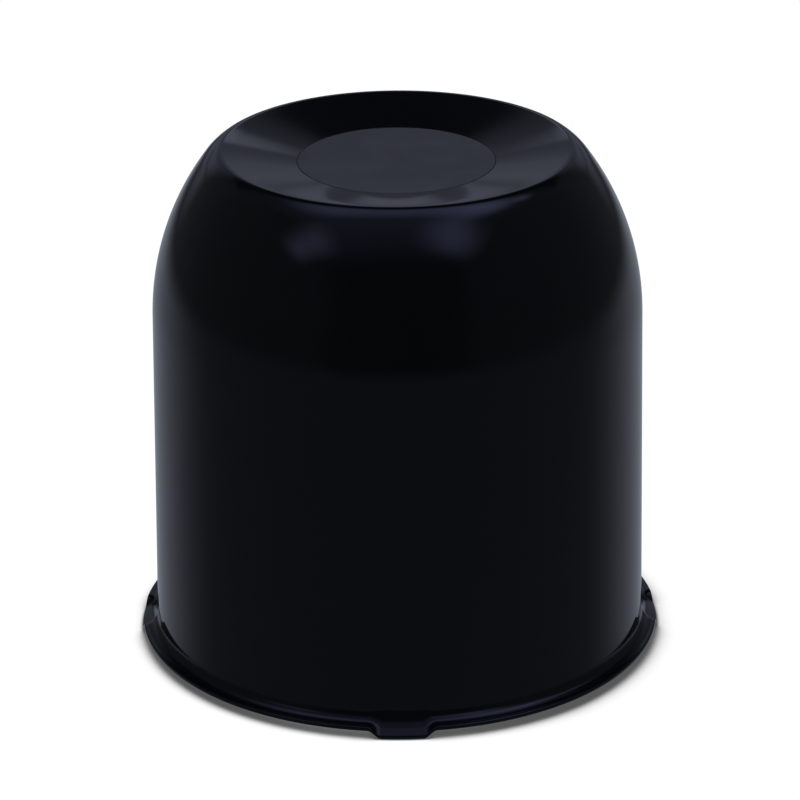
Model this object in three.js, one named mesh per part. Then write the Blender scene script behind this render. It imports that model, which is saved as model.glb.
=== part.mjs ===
// Push-through wheel centre cap (hub cover), closed end up, open end down.
//
// The cap is one deep-drawn steel cup. Its closed end is a shallow dish with a round seat in the middle,
// which holds a plain medallion on an adhesive pad. Its open end turns out into a narrow flange, and four
// nibs pressed down into the flange keep it from rattling between the wheel and the hub.
//
// Millimetres, +Z up. The origin is on the axis, in the plane of the four nib feet.

import * as THREE from "three";

// ---- Driving dimensions (mm, degrees) ----

const SHEET = 1; // thickness of the steel sheet

const BODY_RADIUS = 54; // outside of the wall at its foot, for a 4.25 inch wheel bore
const WALL_DRAFT = 0.89; // the wall leans inwards by this angle
const WALL_TOP = 74.95; // height where the straight wall meets the shoulder

const SHOULDER_RADIUS = 58.2; // long arc from the wall up towards the rim
const SHOULDER_END = 36.5; // surface normal's elevation where that arc ends
const RIM_BLEND_RADIUS = 10.9; // tighter arc that follows it
const RIM_BLEND_END = 56.6;
const RIM_RADIUS = 2.5; // rolled rim around the dish
const DISH_SLOPE = 10.7; // the dish falls towards the centre at this angle

const SEAT_RADIUS = 21.2; // round seat in the middle of the dish
const SEAT_DEPTH = 1.3; // step from the foot of the dish down to the seat's floor
const SEAT_STEP_LEAN = 0.15; // the seat's floor is this much smaller in radius than its mouth

const LIP_CHAMFER = 0.2; // stands for the rounded edge of the flange
const FLANGE = {
  filletRadius: 2.4, // concave, between the wall and the flange's top face
  topNormal: 90, // elevation of the top face's normal: level
  lipRadius: 57.3,
  underside: 1.7,
  footWidth: 0.4, // radial width of the level underside behind the lip's chamfer
};
const NIB = {
  filletRadius: 5,
  topNormal: 51, // the nib's top face slopes down and outwards
  lipRadius: 57.45,
  underside: 0, // its foot reaches the origin plane
  footWidth: 1.4,
};
const NIB_COUNT = 4;
const NIB_CORE_ANGLE = 4.5; // half angle of a nib's full section
const NIB_FULL_ANGLE = 7.4; // half angle where a nib's side runs out into the flange

const MEDALLION_THICKNESS = 0.85;
const MEDALLION_EDGE = 0.2; // chamfer around the medallion's face
const ADHESIVE_THICKNESS = 0.35;
const ADHESIVE_INSET = 0.8; // the pad is this much smaller in radius than the medallion
const SEAT_CLEARANCE = 0.3; // between the medallion's edge and the seat's step
const STACK_CLEARANCE = 0.05; // between seat, pad and medallion

const SHELL_SEGMENTS = 80;
const DISC_SEGMENTS = 64;
const NIB_BUNCHING = 0.6; // how strongly the shell's segments crowd around the nibs, 0 to 1

const { cos, sin, tan, PI } = Math;
const radians = THREE.MathUtils.degToRad;

// ---- Outline helpers ----

// An outline entry is a point of the shell's outer surface in the meridian plane, with the elevation of its
// outward normal: 0 is horizontal and a quarter turn is straight up.
function entry(radius, height, normal) {
  return { radius, height, normal };
}

// Entries along an arc about a centre. side is 1 on a convex arc and -1 on a concave one.
function arcEntries(centreRadius, centreHeight, arcRadius, fromNormal, toNormal, steps, side) {
  return Array.from({ length: steps + 1 }, (_, step) => {
    const normal = THREE.MathUtils.lerp(fromNormal, toNormal, step / steps);
    return entry(centreRadius + side * arcRadius * cos(normal),
      centreHeight + side * arcRadius * sin(normal), normal);
  });
}

// Adds a convex arc that leaves the last entry along its tangent.
function turnInwards(entries, arcRadius, endNormal, steps) {
  const { radius, height, normal } = entries.at(-1);
  const centreRadius = radius - arcRadius * cos(normal);
  const centreHeight = height - arcRadius * sin(normal);
  entries.push(...arcEntries(centreRadius, centreHeight, arcRadius, normal, endNormal, steps, 1).slice(1));
}

function outerPoint({ radius, height }) {
  return new THREE.Vector2(radius, height);
}

// The same place on the sheet's other side.
function innerPoint({ radius, height, normal }) {
  return new THREE.Vector2(radius - SHEET * cos(normal), height - SHEET * sin(normal));
}

// ---- The shell ----

// Concave fillet from the lip's top face up to the foot of the wall, for a flange or nib section.
function filletEntries({ filletRadius, topNormal, lipRadius, underside }) {
  const draft = radians(WALL_DRAFT);
  const top = radians(topNormal);
  const topOuterRadius = lipRadius - LIP_CHAMFER;
  const topRun = topOuterRadius - BODY_RADIUS - filletRadius * (cos(draft) - cos(top));
  const topRise = topRun / tan(top);
  const centreRadius = topOuterRadius - topRun + filletRadius * cos(top);
  const centreHeight = underside + SHEET + topRise + filletRadius * sin(top);
  return arcEntries(centreRadius, centreHeight, filletRadius, top, draft, 4, -1);
}

// Outer surface from the fillet, up the wall and over the rim to the foot of the dish.
function surfaceEntries(section) {
  const entries = filletEntries(section);
  const draft = radians(WALL_DRAFT);
  const wallLean = (WALL_TOP - FLANGE.underside - SHEET - FLANGE.filletRadius) * tan(draft);
  entries.push(entry(BODY_RADIUS - wallLean, WALL_TOP, draft));
  turnInwards(entries, SHOULDER_RADIUS, radians(SHOULDER_END), 5);
  turnInwards(entries, RIM_BLEND_RADIUS, radians(RIM_BLEND_END), 2);
  turnInwards(entries, RIM_RADIUS, radians(90 + DISH_SLOPE), 4);

  const rim = entries.at(-1);
  const dishFall = (rim.radius - SEAT_RADIUS) * tan(radians(DISH_SLOPE));
  entries.push(entry(SEAT_RADIUS, rim.height - dishFall, rim.normal));
  return entries;
}

// Height of the foot of the dish, where the medallion's face lies flush.
const dishFoot = surfaceEntries(FLANGE).at(-1).height;
const seatFloor = dishFoot - SEAT_DEPTH;

// Closed outline of the shell: inner side from the axis down to the lip, then the outer side back up.
function shellOutline(section) {
  const surface = surfaceEntries(section);
  const seatUnderside = seatFloor - SHEET;
  const { lipRadius, underside, footWidth } = section;
  const lipTop = underside + SHEET;
  return [
    new THREE.Vector2(0, seatUnderside),
    new THREE.Vector2(SEAT_RADIUS + SHEET / 2, seatUnderside),
    new THREE.Vector2(SEAT_RADIUS + SHEET, seatUnderside + SEAT_DEPTH / 2),
    ...surface.slice(0, -1).map(innerPoint).reverse(),
    new THREE.Vector2(lipRadius - LIP_CHAMFER - footWidth, underside),
    new THREE.Vector2(lipRadius - LIP_CHAMFER, underside),
    new THREE.Vector2(lipRadius, underside + LIP_CHAMFER),
    new THREE.Vector2(lipRadius, lipTop - LIP_CHAMFER),
    new THREE.Vector2(lipRadius - LIP_CHAMFER, lipTop),
    ...surface.map(outerPoint),
    new THREE.Vector2(SEAT_RADIUS - SEAT_STEP_LEAN, seatFloor),
    new THREE.Vector2(0, seatFloor),
  ];
}

// Turns a lathed solid, made around +Y, so that it stands on +Z.
function latheUpright(outline, segments) {
  const geometry = new THREE.LatheGeometry(outline, segments);
  geometry.rotateX(PI / 2);
  return geometry;
}

// 1 in a nib's full section, 0 on the plain flange, and a smooth S between them.
function nibShare(azimuth) {
  const pitch = (2 * PI) / NIB_COUNT;
  const fromNib = Math.abs(azimuth - pitch * Math.round(azimuth / pitch));
  return 1 - THREE.MathUtils.smoothstep(fromNib, radians(NIB_CORE_ANGLE), radians(NIB_FULL_ANGLE));
}

// A lathed shell whose section changes smoothly from the flange's to the nib's and back around the axis.
// Its segments crowd towards the nibs.
function capShellGeometry() {
  const flangeOutline = shellOutline(FLANGE);
  const nibOutline = shellOutline(NIB);
  const geometry = latheUpright(flangeOutline, SHELL_SEGMENTS);
  const position = geometry.getAttribute("position");
  for (let index = 0; index < position.count; index++) {
    const evenAzimuth = (2 * PI * Math.floor(index / flangeOutline.length)) / SHELL_SEGMENTS;
    const azimuth = evenAzimuth - (NIB_BUNCHING / NIB_COUNT) * sin(NIB_COUNT * evenAzimuth);
    const place = index % flangeOutline.length;
    const { x: radius, y: height } = flangeOutline[place].clone().lerp(nibOutline[place], nibShare(azimuth));
    position.setXYZ(index, radius * cos(azimuth), radius * sin(azimuth), height);
  }
  geometry.computeVertexNormals();
  return geometry;
}

// ---- The medallion and its adhesive pad ----

const medallionRadius = SEAT_RADIUS - SEAT_STEP_LEAN - SEAT_CLEARANCE;

function medallionGeometry() {
  return latheUpright([
    new THREE.Vector2(0, 0),
    new THREE.Vector2(medallionRadius, 0),
    new THREE.Vector2(medallionRadius, MEDALLION_THICKNESS - MEDALLION_EDGE),
    new THREE.Vector2(medallionRadius - MEDALLION_EDGE, MEDALLION_THICKNESS),
    new THREE.Vector2(0, MEDALLION_THICKNESS),
  ], DISC_SEGMENTS);
}

function adhesiveGeometry() {
  const radius = medallionRadius - ADHESIVE_INSET;
  return latheUpright([
    new THREE.Vector2(0, 0),
    new THREE.Vector2(radius, 0),
    new THREE.Vector2(radius, ADHESIVE_THICKNESS),
    new THREE.Vector2(0, ADHESIVE_THICKNESS),
  ], DISC_SEGMENTS);
}

// ---- Assembly ----

function addPart(group, name, geometry, height, look) {
  const mesh = new THREE.Mesh(geometry, new THREE.MeshStandardMaterial(look));
  mesh.name = name;
  mesh.position.z = height;
  group.add(mesh);
}

const glossBlack = { color: 0x0a0a0d, roughness: 0.12, metalness: 0 };
const satinBlack = { color: 0x111116, roughness: 0.2, metalness: 0 };
const foamGrey = { color: 0x2a2a2c, roughness: 0.9, metalness: 0 };

const adhesiveHeight = seatFloor + STACK_CLEARANCE;
const medallionHeight = adhesiveHeight + ADHESIVE_THICKNESS + STACK_CLEARANCE;

const cap = new THREE.Group();
addPart(cap, "cap_shell", capShellGeometry(), 0, glossBlack);
addPart(cap, "medallion_adhesive", adhesiveGeometry(), adhesiveHeight, foamGrey);
addPart(cap, "medallion_blank", medallionGeometry(), medallionHeight, satinBlack);

export default cap;
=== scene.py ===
import math

import bpy
from mathutils import Matrix, Vector


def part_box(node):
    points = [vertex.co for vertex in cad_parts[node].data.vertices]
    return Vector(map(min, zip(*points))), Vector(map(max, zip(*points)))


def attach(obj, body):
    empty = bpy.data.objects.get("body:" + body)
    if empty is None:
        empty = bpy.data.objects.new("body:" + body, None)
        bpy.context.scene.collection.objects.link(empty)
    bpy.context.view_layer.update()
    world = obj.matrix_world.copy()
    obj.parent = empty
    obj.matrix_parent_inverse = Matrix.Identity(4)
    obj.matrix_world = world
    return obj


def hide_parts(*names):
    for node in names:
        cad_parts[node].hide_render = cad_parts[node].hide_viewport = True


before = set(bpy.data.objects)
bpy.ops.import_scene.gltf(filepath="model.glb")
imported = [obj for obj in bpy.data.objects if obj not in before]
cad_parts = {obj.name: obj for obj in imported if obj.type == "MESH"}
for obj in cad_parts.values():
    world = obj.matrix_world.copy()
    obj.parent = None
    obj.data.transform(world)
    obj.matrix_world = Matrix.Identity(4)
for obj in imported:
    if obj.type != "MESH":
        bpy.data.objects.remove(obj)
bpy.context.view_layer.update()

# The looks of a push-through wheel centre cap: a deep-drawn steel cup in gloss black paint, with a
# plain medallion held on an adhesive pad in the middle of its dished end. Metres, +Z up, and the
# origin on the axis, in the plane of the nib feet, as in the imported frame.

MM = 0.001

# ---- Driving dimensions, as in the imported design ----

SHEET = 1.0 * MM
BODY_RADIUS = 54 * MM
WALL_DRAFT = math.radians(0.89)
WALL_TOP = 74.95 * MM
SHOULDER_RADIUS = 58.2 * MM
SHOULDER_END = math.radians(36.5)
RIM_BLEND_RADIUS = 10.9 * MM
RIM_BLEND_END = math.radians(56.6)
RIM_RADIUS = 2.5 * MM
DISH_SLOPE = math.radians(10.7)

LIP_ROUNDING = 0.35 * MM
FLANGE = {
    "fillet_radius": 2.4 * MM,
    "top_normal": math.radians(90),
    "lip_radius": 57.3 * MM,
    "underside": 1.7 * MM,
    "foot_width": 0.4 * MM,
}
NIB = {
    "fillet_radius": 5 * MM,
    "top_normal": math.radians(51),
    "lip_radius": 57.45 * MM,
    "underside": 0.0,
    "foot_width": 1.4 * MM,
}
NIB_COUNT = 4
NIB_CORE_ANGLE = math.radians(4.5)
NIB_FULL_ANGLE = math.radians(7.4)

SEAT_RADIUS = 21.2 * MM
SEAT_STEP_LEAN = 0.1 * MM
SEAT_EDGE = 0.1 * MM  # rounding where the dish turns down into the seat
MEDALLION_GAP = 0.08 * MM  # all round the medallion
MEDALLION_EDGE = 0.12 * MM
ADHESIVE_EDGE = 0.05 * MM
STACK_CLEARANCE = 0.05 * MM  # between the seat and the adhesive pad

TRIM = 0.05 * MM  # width of the narrow strips that keep the shading of a flat face flat
SHARP_ANGLE = math.radians(32)  # a crease sharper than this isn't shaded smooth
SHELL_SEGMENTS = 480
DISC_SEGMENTS = 192
NIB_BUNCHING = 0.6  # how strongly the shell's segments crowd around the nibs, 0 to 1
FILLET_STEPS = 12
WALL_STEPS = 12
SHOULDER_STEPS = 24
RIM_BLEND_STEPS = 10
RIM_STEPS = 14
DISH_STEPS = 6
LIP_STEPS = 5
EDGE_STEPS = 4

MEDALLION_LOW, MEDALLION_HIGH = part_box("medallion_blank")
ADHESIVE_LOW, ADHESIVE_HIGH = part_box("medallion_adhesive")
SEAT_FLOOR = ADHESIVE_LOW.z - STACK_CLEARANCE

# ---- The camera ----

CAMERA_LENS = 165.4  # mm
CAMERA_SENSOR = 36  # mm
CAMERA_DISTANCE = 0.8038
CAMERA_PITCH = math.radians(23.107)
CAMERA_TURN = math.radians(0.4)  # it stands a little to the left and looks to the right
CAMERA_ROLL = math.radians(0.41)
AIM = Vector((0.0004, 0.0, 0.05310))


# ---- Outlines ----


def arc(centre, radius, start, end, steps, side=1):
    """Entries (radius, height, normal) along an arc. side is 1 if it is convex and -1 if concave."""
    entries = []
    for step in range(steps + 1):
        normal = start + (end - start) * step / steps
        x = centre[0] + side * radius * math.cos(normal)
        z = centre[1] + side * radius * math.sin(normal)
        entries.append((x, z, normal))
    return entries


def turn_inwards(entries, radius, end, steps):
    """Adds a convex arc that leaves the last entry along its tangent."""
    x, z, normal = entries[-1]
    centre = (x - radius * math.cos(normal), z - radius * math.sin(normal))
    entries.extend(arc(centre, radius, normal, end, steps)[1:])


def straight(entries, x, z, steps):
    """Adds a straight run to the point, with the last entry's normal."""
    start_x, start_z, normal = entries[-1]
    for step in range(1, steps + 1):
        share = step / steps
        entries.append((start_x + (x - start_x) * share, start_z + (z - start_z) * share, normal))


def fillet_entries(section):
    """The concave fillet between the lip's top face and the wall, for a flange or nib section."""
    radius, top = section["fillet_radius"], section["top_normal"]
    lip_top_radius = section["lip_radius"] - LIP_ROUNDING
    run = lip_top_radius - BODY_RADIUS - radius * (math.cos(WALL_DRAFT) - math.cos(top))
    rise = run / math.tan(top)
    centre = (
        lip_top_radius - run + radius * math.cos(top),
        section["underside"] + SHEET + rise + radius * math.sin(top),
    )
    entries = arc(centre, radius, top, WALL_DRAFT, FILLET_STEPS, side=-1)
    x, z, _ = entries[0]
    return [(x + TRIM * math.sin(top), z - TRIM * math.cos(top), top)] + entries


def surface_entries(section):
    """The outer surface, from the fillet up the wall and over the rim to the foot of the dish."""
    entries = fillet_entries(section)
    wall_foot = FLANGE["underside"] + SHEET + FLANGE["fillet_radius"]
    wall_lean = (WALL_TOP - wall_foot) * math.tan(WALL_DRAFT)
    straight(entries, BODY_RADIUS - wall_lean, WALL_TOP, WALL_STEPS)
    turn_inwards(entries, SHOULDER_RADIUS, SHOULDER_END, SHOULDER_STEPS)
    turn_inwards(entries, RIM_BLEND_RADIUS, RIM_BLEND_END, RIM_BLEND_STEPS)
    turn_inwards(entries, RIM_RADIUS, math.pi / 2 + DISH_SLOPE, RIM_STEPS)
    rim_radius, rim_height, _ = entries[-1]
    foot_radius = SEAT_RADIUS + SEAT_EDGE
    foot_height = rim_height - (rim_radius - foot_radius) * math.tan(DISH_SLOPE)
    trim_height = foot_height + TRIM * math.tan(DISH_SLOPE)
    straight(entries, foot_radius + TRIM, trim_height, DISH_STEPS)
    straight(entries, foot_radius, foot_height, 1)
    return entries


def lip_points(section):
    """The rounded lip, from its underside out and up to its top face."""
    low = section["underside"]
    radius = section["lip_radius"] - LIP_ROUNDING
    lower = arc((radius, low + LIP_ROUNDING), LIP_ROUNDING, -math.pi / 2, 0, LIP_STEPS)
    top = section["top_normal"]
    upper = arc((radius, low + SHEET - LIP_ROUNDING), LIP_ROUNDING, 0, top, LIP_STEPS)
    x, z, _ = upper[-1]
    upper.append((x - TRIM * math.sin(top), z + TRIM * math.cos(top), top))
    return [(x, z) for x, z, _ in lower + upper]


def shell_outline(section):
    """The outline's points and, for each, 1 if it is on the cup's inner side and 0 if not."""
    surface = surface_entries(section)
    under_seat = SEAT_FLOOR - SHEET
    inner = [(0.0, under_seat), (SEAT_RADIUS + SHEET * 0.5, under_seat)]
    inner.append((SEAT_RADIUS + SHEET, under_seat + SHEET * 0.5))
    for x, z, normal in reversed(surface[:-1]):
        inner.append((x - SHEET * math.cos(normal), z - SHEET * math.sin(normal)))
    foot_edge = section["lip_radius"] - LIP_ROUNDING
    for x in (foot_edge - section["foot_width"], foot_edge - TRIM):
        inner.append((x, section["underside"]))
    outer = lip_points(section) + [(x, z) for x, z, _ in surface]
    foot_radius, foot_height, _ = surface[-1]
    seat_edge = arc((foot_radius, foot_height - SEAT_EDGE), SEAT_EDGE, math.pi / 2, math.pi, EDGE_STEPS)
    outer += [(x, z) for x, z, _ in seat_edge]
    floor_radius = SEAT_RADIUS - SEAT_STEP_LEAN
    for x in (floor_radius, floor_radius - TRIM, 0.0):
        outer.append((x, SEAT_FLOOR))
    return inner + outer, [1.0] * len(inner) + [0.0] * len(outer)


def nib_share(azimuth):
    """1 in a nib's full section, 0 on the plain flange, and a smooth S between them."""
    pitch = 2 * math.pi / NIB_COUNT
    from_nib = abs(azimuth - pitch * round(azimuth / pitch))
    t = (from_nib - NIB_CORE_ANGLE) / (NIB_FULL_ANGLE - NIB_CORE_ANGLE)
    t = min(1.0, max(0.0, t))
    return 1 - t * t * (3 - 2 * t)


def segment_azimuth(segment):
    """Even steps round the axis that crowd towards the nibs."""
    even = 2 * math.pi * segment / SHELL_SEGMENTS
    return even - NIB_BUNCHING / NIB_COUNT * math.sin(NIB_COUNT * even)


# ---- Meshes ----


def revolve(name, rings, azimuths):
    """A closed mesh from an outline for each azimuth. An outline starts and ends on the axis."""
    count = len(rings[0])
    vertices = [(0.0, 0.0, rings[0][0][1]), (0.0, 0.0, rings[0][-1][1])]
    for ring, azimuth in zip(rings, azimuths):
        for x, z in ring[1:-1]:
            vertices.append((x * math.cos(azimuth), x * math.sin(azimuth), z))
    inner = count - 2
    faces = []
    for segment in range(len(azimuths)):
        here = 2 + segment * inner
        there = 2 + (segment + 1) % len(azimuths) * inner
        faces.append((0, there, here))
        for place in range(inner - 1):
            faces.append((here + place, there + place, there + place + 1, here + place + 1))
        faces.append((here + inner - 1, there + inner - 1, 1))
    mesh = bpy.data.meshes.new(name)
    mesh.from_pydata(vertices, [], faces)
    mesh.shade_smooth()
    mesh.set_sharp_from_angle(angle=SHARP_ANGLE)
    piece = bpy.data.objects.new(name, mesh)
    bpy.context.scene.collection.objects.link(piece)
    return piece


def add_point_values(piece, name, values):
    """Stores one number for each vertex, for a material to read."""
    attribute = piece.data.attributes.new(name, "FLOAT", "POINT")
    attribute.data.foreach_set("value", values)


def make_shell():
    flange_points, inside = shell_outline(FLANGE)
    nib_points, _ = shell_outline(NIB)
    azimuths = [segment_azimuth(segment) for segment in range(SHELL_SEGMENTS)]
    rings = []
    for azimuth in azimuths:
        share = nib_share(azimuth)
        ring = []
        for (x, z), (nib_x, nib_z) in zip(flange_points, nib_points):
            ring.append((x + (nib_x - x) * share, z + (nib_z - z) * share))
        rings.append(ring)
    shell = revolve("cap_shell_painted", rings, azimuths)
    add_point_values(shell, "inside", [1.0, 0.0] + inside[1:-1] * SHELL_SEGMENTS)
    return shell


def make_disc(name, low, high, radius, edge):
    """A round disc with rounded edges between two heights."""
    lower = arc((radius - edge, low + edge), edge, -math.pi / 2, 0, EDGE_STEPS)
    upper = arc((radius - edge, high - edge), edge, 0, math.pi / 2, EDGE_STEPS)
    outline = [(0.0, low), (radius - edge - TRIM, low)]
    outline += [(x, z) for x, z, _ in lower + upper]
    outline += [(radius - edge - TRIM, high), (0.0, high)]
    azimuths = [2 * math.pi * segment / DISC_SEGMENTS for segment in range(DISC_SEGMENTS)]
    return revolve(name, [outline] * DISC_SEGMENTS, azimuths)


# ---- Shader helpers ----


def add_node(tree, kind, sockets=None, **settings):
    """Adds a node. sockets gives inputs, by name or number, a value or another node's output."""
    node = tree.nodes.new("ShaderNode" + kind)
    for name, value in settings.items():
        setattr(node, name, value)
    for key, value in (sockets or {}).items():
        if isinstance(value, bpy.types.NodeSocket):
            tree.links.new(value, node.inputs[key])
        else:
            node.inputs[key].default_value = value
    return node


def calculate(tree, operation, first, second=0.0):
    return add_node(tree, "Math", {0: first, 1: second}, operation=operation).outputs[0]


def product(tree, *factors):
    result = factors[0]
    for factor in factors[1:]:
        result = calculate(tree, "MULTIPLY", result, factor)
    return result


def remap(tree, value, low, high, to_low=0.0, to_high=1.0, smooth=False):
    """value from low..high to to_low..to_high, held at its ends."""
    sockets = {"Value": value, "From Min": low, "From Max": high, "To Min": to_low, "To Max": to_high}
    kind = "SMOOTHSTEP" if smooth else "LINEAR"
    return add_node(tree, "MapRange", sockets, interpolation_type=kind).outputs["Result"]


def noise(tree, size, detail=2.0, roughness=0.5, distortion=0.0):
    """Noise, 0 to 1, with features of about that size in metres."""
    coordinates = add_node(tree, "TexCoord").outputs["Object"]
    sockets = {
        "Vector": coordinates,
        "Scale": 1 / size,
        "Detail": detail,
        "Roughness": roughness,
        "Distortion": distortion,
    }
    return add_node(tree, "TexNoise", sockets).outputs["Fac"]


def new_material(name):
    material = bpy.data.materials.new(name)
    material.use_nodes = True
    tree = material.node_tree
    tree.nodes.clear()
    shader = add_node(tree, "BsdfPrincipled")
    add_node(tree, "OutputMaterial", {"Surface": shader.outputs["BSDF"]})
    return material, tree, shader


def mix_colours(tree, share, first, second):
    node = add_node(tree, "Mix", data_type="RGBA")
    for socket, value in ((node.inputs[0], share), (node.inputs[6], first), (node.inputs[7], second)):
        if isinstance(value, bpy.types.NodeSocket):
            tree.links.new(value, socket)
        else:
            socket.default_value = value
    return node.outputs[2]


# ---- Materials ----

BLACK = (0.0050, 0.0055, 0.0062, 1)
BLACK_WARM = (0.0070, 0.0068, 0.0068, 1)
DUST = (0.10, 0.10, 0.095, 1)
FOAM_DARK = (0.012, 0.012, 0.013, 1)
FOAM_LIGHT = (0.035, 0.035, 0.036, 1)
POLYMER_IOR = 1.5  # of the enamel and of the moulded plastic
CORNER_TOP = 7 * MM  # below this height the enamel in the corner above the flange gets duller
CORNER_FULL = 4 * MM
CORNER_ROUGHNESS = 0.11


def gloss_black_paint():
    """Baked black enamel: mirror gloss with a faint orange peel, thin dry spray inside the cup."""
    material, tree, shader = new_material("gloss_black_paint")
    inside = add_node(tree, "Attribute", attribute_name="inside").outputs["Fac"]

    mottle = remap(tree, noise(tree, 9 * MM, detail=4), 0.35, 0.7)
    specks = remap(tree, noise(tree, 0.35 * MM, detail=1), 0.79, 0.84)
    dusty = product(tree, specks, 0.5)
    colour = mix_colours(tree, mottle, BLACK, BLACK_WARM)
    tree.links.new(mix_colours(tree, dusty, colour, DUST), shader.inputs["Base Color"])

    handling = remap(tree, noise(tree, 26 * MM, detail=5, roughness=0.6, distortion=0.6), 0.4, 0.75)
    place = add_node(tree, "TexCoord").outputs["Object"]
    height = add_node(tree, "SeparateXYZ", {0: place}).outputs[2]
    corner = remap(tree, height, CORNER_TOP, CORNER_FULL, 0.0, CORNER_ROUGHNESS, smooth=True)
    handled_roughness = remap(tree, handling, 0, 1, 0.045, 0.085)
    outside_roughness = calculate(tree, "ADD", handled_roughness, corner)
    spray = noise(tree, 0.5 * MM, detail=3)
    inside_roughness = remap(tree, spray, 0.3, 0.7, 0.28, 0.42)
    extra = product(tree, calculate(tree, "SUBTRACT", inside_roughness, outside_roughness), inside)
    tree.links.new(calculate(tree, "ADD", outside_roughness, extra), shader.inputs["Roughness"])

    peel = noise(tree, 2.2 * MM, detail=2, roughness=0.4)
    grit = product(tree, spray, inside, 0.8)
    relief = calculate(tree, "ADD", product(tree, peel, 0.5), grit)
    bump = add_node(tree, "Bump", {"Strength": 0.25, "Distance": 0.012 * MM, "Height": relief})
    tree.links.new(bump.outputs["Normal"], shader.inputs["Normal"])
    shader.inputs["IOR"].default_value = POLYMER_IOR
    return material


def medallion_black():
    """Moulded gloss plastic with a fine polish haze."""
    material, tree, shader = new_material("medallion_black")
    mottle = remap(tree, noise(tree, 6 * MM, detail=3), 0.35, 0.7)
    tree.links.new(mix_colours(tree, mottle, BLACK, BLACK_WARM), shader.inputs["Base Color"])
    haze = noise(tree, 14 * MM, detail=4, roughness=0.6, distortion=0.5)
    tree.links.new(remap(tree, haze, 0.35, 0.75, 0.09, 0.14), shader.inputs["Roughness"])
    ripple = noise(tree, 3.5 * MM, detail=1)
    bump = add_node(tree, "Bump", {"Strength": 0.2, "Distance": 0.006 * MM, "Height": ripple})
    tree.links.new(bump.outputs["Normal"], shader.inputs["Normal"])
    shader.inputs["IOR"].default_value = POLYMER_IOR
    return material


def adhesive_foam():
    """Closed-cell acrylic foam tape."""
    material, tree, shader = new_material("adhesive_foam")
    cells = noise(tree, 0.25 * MM, detail=2)
    shade = remap(tree, cells, 0.35, 0.65)
    tree.links.new(mix_colours(tree, shade, FOAM_DARK, FOAM_LIGHT), shader.inputs["Base Color"])
    tree.links.new(remap(tree, cells, 0.3, 0.7, 0.75, 0.95), shader.inputs["Roughness"])
    bump = add_node(tree, "Bump", {"Strength": 0.6, "Distance": 0.05 * MM, "Height": cells})
    tree.links.new(bump.outputs["Normal"], shader.inputs["Normal"])
    return material


def dress(piece, material, slot, *nodes):
    piece.data.materials.append(material)
    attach(piece, "root")
    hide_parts(*nodes)


# ---- The studio ----

# Lamps above the object, on a ceiling plane at height 1: centre and half size (right, back), the width
# of the soft edge, and the brightness.
CEILING_LAMPS = (
    {"centre": (0.0, -0.35), "half": (0.80, 0.65), "soft": 0.40, "strength": 0.125},  # diffuser
    {"centre": (0.1, 0.08), "half": (0.65, 0.24), "soft": 0.22, "strength": 0.36},  # long bar
    {"centre": (0.5, -0.35), "half": (0.20, 0.64), "soft": 0.20, "strength": 0.26},  # right wing
    {"centre": (0.76, -0.86), "half": (0.22, 0.22), "soft": 0.20, "strength": 0.22},  # its front end
    {"centre": (0.8, 0.38), "half": (0.10, 0.10), "soft": 0.10, "strength": 0.30},  # right corner
    {"centre": (-1.12, -0.77), "half": (0.34, 0.20), "soft": 0.20, "strength": 0.31},  # left corner
)
LAMP_TINT = (0.72, 0.80, 1.48)

# The backdrop stands behind the object, on an upright plane at distance 1.
BACKDROP_TINT = (0.94, 1.0, 1.38)
BACKDROP = {"centre": -0.02, "half_width": 0.68, "soft": 0.2}
BACKDROP_TONES = (  # elevation in degrees and brightness, from the floor's edge upwards
    (-7, 0.0), (0, 0.125), (2.5, 0.125), (5, 0.082), (8.5, 0.155), (14, 0.165), (19, 0.118),
    (24, 0.105), (29, 0.068), (33, 0.01), (90, 0.0),
)
WINDOW = {  # a brighter patch of it
    "centre": (0.015, 0.4315),
    "half": (0.095, 0.0435),
    "soft": (0.03, 0.02),
    "strength": 0.33,
}

# The rest of the room, which is darker above and behind, lighter at its sides, and lightest on the
# ground behind.
ROOM = (0.032, 0.035, 0.043)
ROOM_SIDES = (0.030, 0.031, 0.033)
ROOM_DARKENING = 0.75
GROUND = (0.083, 0.092, 0.121)
GROUND_BEHIND = (0.20, 0.22, 0.25)
GRAZING = 0.02  # a direction this close to level with the ceiling or the backdrop misses it


def soft_span(tree, value, centre, half, soft):
    """1 within half of the centre and 0 beyond it, with a soft edge."""
    away = calculate(tree, "ABSOLUTE", calculate(tree, "SUBTRACT", value, centre))
    return remap(tree, away, half + soft, half - soft, smooth=True)


def tinted(tree, share, colour):
    return add_node(tree, "VectorMath", {0: colour, "Scale": share}, operation="SCALE").outputs[0]


def backdrop_tone(tree, up):
    """The backdrop's brightness at a direction's height above the horizon."""
    place = calculate(tree, "MULTIPLY", calculate(tree, "ADD", up, 1.0), 0.5)
    ramp = add_node(tree, "ValToRGB", {"Fac": place})
    stops = ramp.color_ramp.elements
    while len(stops) > 1:
        stops.remove(stops[-1])
    for elevation, tone in BACKDROP_TONES:
        stop = stops.new((math.sin(math.radians(elevation)) + 1) / 2)
        stop.color = (tone, tone, tone, 1)
    stops.remove(stops[0])
    return ramp.outputs["Color"]


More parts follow.
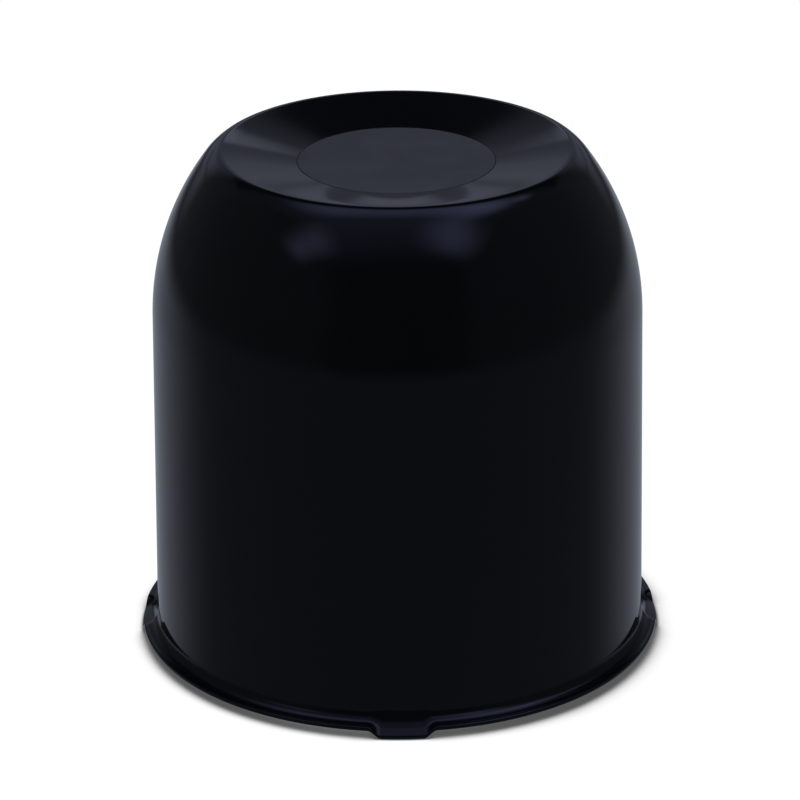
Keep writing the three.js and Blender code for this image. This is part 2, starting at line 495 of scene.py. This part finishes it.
def studio_light(tree):
    """What the studio looks like in each direction, as the object's gloss sees it."""
    direction = add_node(tree, "TexCoord").outputs["Generated"]
    split = add_node(tree, "SeparateXYZ", {0: direction})
    right, back, up = split.outputs
    upward = calculate(tree, "GREATER_THAN", up, GRAZING)
    backward = calculate(tree, "GREATER_THAN", back, GRAZING)
    above_x = calculate(tree, "DIVIDE", right, up)
    above_y = calculate(tree, "DIVIDE", back, up)
    behind_x = calculate(tree, "DIVIDE", right, back)
    behind_z = calculate(tree, "DIVIDE", up, back)

    layers = []
    for lamp in CEILING_LAMPS:
        (centre_x, centre_y), (half_x, half_y) = lamp["centre"], lamp["half"]
        across = soft_span(tree, above_x, centre_x, half_x, lamp["soft"])
        along = soft_span(tree, above_y, centre_y, half_y, lamp["soft"])
        share = product(tree, across, along, upward, lamp["strength"])
        layers.append(tinted(tree, share, LAMP_TINT))

    across = soft_span(tree, behind_x, BACKDROP["centre"], BACKDROP["half_width"], BACKDROP["soft"])
    share = product(tree, across, backdrop_tone(tree, up), backward)
    layers.append(tinted(tree, share, BACKDROP_TINT))

    spans = zip((behind_x, behind_z), WINDOW["centre"], WINDOW["half"], WINDOW["soft"])
    across, along = [soft_span(tree, *span) for span in spans]
    share = product(tree, across, along, backward, WINDOW["strength"])
    layers.append(tinted(tree, share, BACKDROP_TINT))

    above = remap(tree, up, -0.25, -0.1, smooth=True)
    overhead = remap(tree, up, 0.50, 0.58, smooth=True)
    behind = remap(tree, back, 0.4, 0.6, smooth=True)
    room = calculate(tree, "SUBTRACT", above, product(tree, overhead, behind, ROOM_DARKENING))
    layers.append(tinted(tree, room, ROOM))
    sideways = remap(tree, calculate(tree, "ABSOLUTE", right), 0.35, 0.75, smooth=True)
    layers.append(tinted(tree, product(tree, sideways, room), ROOM_SIDES))
    below = calculate(tree, "SUBTRACT", 1.0, above)
    layers.append(tinted(tree, below, GROUND))
    far = remap(tree, back, 0.05, 0.95, smooth=True)
    layers.append(tinted(tree, product(tree, far, below), GROUND_BEHIND))

    total = layers[0]
    for layer in layers[1:]:
        total = add_node(tree, "VectorMath", {0: total, 1: layer}, operation="ADD").outputs[0]
    return total


def make_world():
    """A white studio: the camera sees plain white, and the gloss sees the lamps and the backdrop."""
    world = bpy.data.worlds.new("studio")
    world.use_nodes = True
    bpy.context.scene.world = world
    tree = world.node_tree
    tree.nodes.clear()
    lit = add_node(tree, "Background", {"Color": studio_light(tree)})
    white = add_node(tree, "Background", {"Color": (1, 1, 1, 1)})
    seen = add_node(tree, "LightPath").outputs["Is Camera Ray"]
    mixed = add_node(tree, "MixShader", {0: seen, 1: lit.outputs[0], 2: white.outputs[0]})
    add_node(tree, "OutputWorld", {"Surface": mixed.outputs[0]})


# The floor glows white instead of being lit, and its contact shadow is painted into that glow.
FLOOR_HALF_SIZE = 4.0
FLOOR_WHITE = 1.03
FLOOR_SHADOW = 0.095
SHADOW_REACH = 5.5 * MM  # how far from the object its painted contact shadow can start
SHADOW_LEAN = (-0.25, 0.15, 0.96)  # the painted shadow's occlusion test leans a little to the left and towards the back; no lamp lights the floor
SHADOW_FULL = 0.42  # the openness at which the painted shadow is darkest
SHADOW_END = 0.88  # and where it ends
PAINTED_SIDE_SHADOWS = (  # painted shadow: at both sides the openness is lowered, so the floor is darker there, by up to strength
    {"start": 0.0, "end": 38 * MM, "strength": 0.15},
    {"start": -20 * MM, "end": -57 * MM, "strength": 0.09},
)


def make_floor():
    """A plain white glowing floor with a painted contact shadow where the object nearly touches it."""
    size = FLOOR_HALF_SIZE
    mesh = bpy.data.meshes.new("floor")
    corners = [(-size, -size, 0), (size, -size, 0), (size, size, 0), (-size, size, 0)]
    mesh.from_pydata(corners, [], [(0, 1, 2, 3)])
    floor = bpy.data.objects.new("floor", mesh)
    bpy.context.scene.collection.objects.link(floor)

    material = bpy.data.materials.new("pale_floor")
    material.use_nodes = True
    tree = material.node_tree
    tree.nodes.clear()
    sockets = {"Distance": SHADOW_REACH, "Normal": SHADOW_LEAN}
    # painted shadow: an occlusion test near the object, lowered further at both sides, dims the floor's
    # glow
    painted_shadow_openness = add_node(tree, "AmbientOcclusion", sockets, samples=24).outputs["AO"]
    position = add_node(tree, "NewGeometry").outputs["Position"]
    rightwards = add_node(tree, "SeparateXYZ", {0: position}).outputs[0]
    for side in PAINTED_SIDE_SHADOWS:
        painted_side_shade = remap(tree, rightwards, side["start"], side["end"], 0.0, side["strength"])
        painted_shadow_openness = calculate(tree, "SUBTRACT", painted_shadow_openness, painted_side_shade)
    tones = (FLOOR_SHADOW, FLOOR_WHITE)
    brightness = remap(tree, painted_shadow_openness, SHADOW_FULL, SHADOW_END, *tones, smooth=True)
    # the floor's glow, with the painted shadow in it
    glow = add_node(tree, "Emission", {"Strength": brightness})
    add_node(tree, "OutputMaterial", {"Surface": glow.outputs[0]})
    mesh.materials.append(material)
    floor.visible_glossy = False
    floor.visible_diffuse = False


def make_camera():
    """A long lens, looking down on the cap from in front."""
    forward = Vector((
        math.sin(CAMERA_TURN) * math.cos(CAMERA_PITCH),
        math.cos(CAMERA_TURN) * math.cos(CAMERA_PITCH),
        -math.sin(CAMERA_PITCH),
    ))
    camera = bpy.data.objects.new("camera", bpy.data.cameras.new("camera"))
    camera.data.lens = CAMERA_LENS
    camera.data.sensor_width = CAMERA_SENSOR
    camera.data.clip_start = 0.05
    camera.data.clip_end = 20
    turn = forward.to_track_quat("-Z", "Y").to_matrix() @ Matrix.Rotation(-CAMERA_ROLL, 3, "Z")
    camera.matrix_world = Matrix.Translation(AIM - forward * CAMERA_DISTANCE) @ turn.to_4x4()
    bpy.context.scene.collection.objects.link(camera)
    bpy.context.scene.camera = camera


make_camera()
make_world()
make_floor()

shell = make_shell()
dress(shell, gloss_black_paint(), "gloss_black_paint", "cap_shell")

radius = SEAT_RADIUS - MEDALLION_GAP
medallion = make_disc("medallion_disc", MEDALLION_LOW.z, MEDALLION_HIGH.z, radius, MEDALLION_EDGE)
dress(medallion, medallion_black(), "medallion_black", "medallion_blank")

pad = make_disc("medallion_pad", ADHESIVE_LOW.z, ADHESIVE_HIGH.z, ADHESIVE_HIGH.x, ADHESIVE_EDGE)
dress(pad, adhesive_foam(), "adhesive_foam", "medallion_adhesive")

bpy.context.scene.view_settings.view_transform = "Standard"
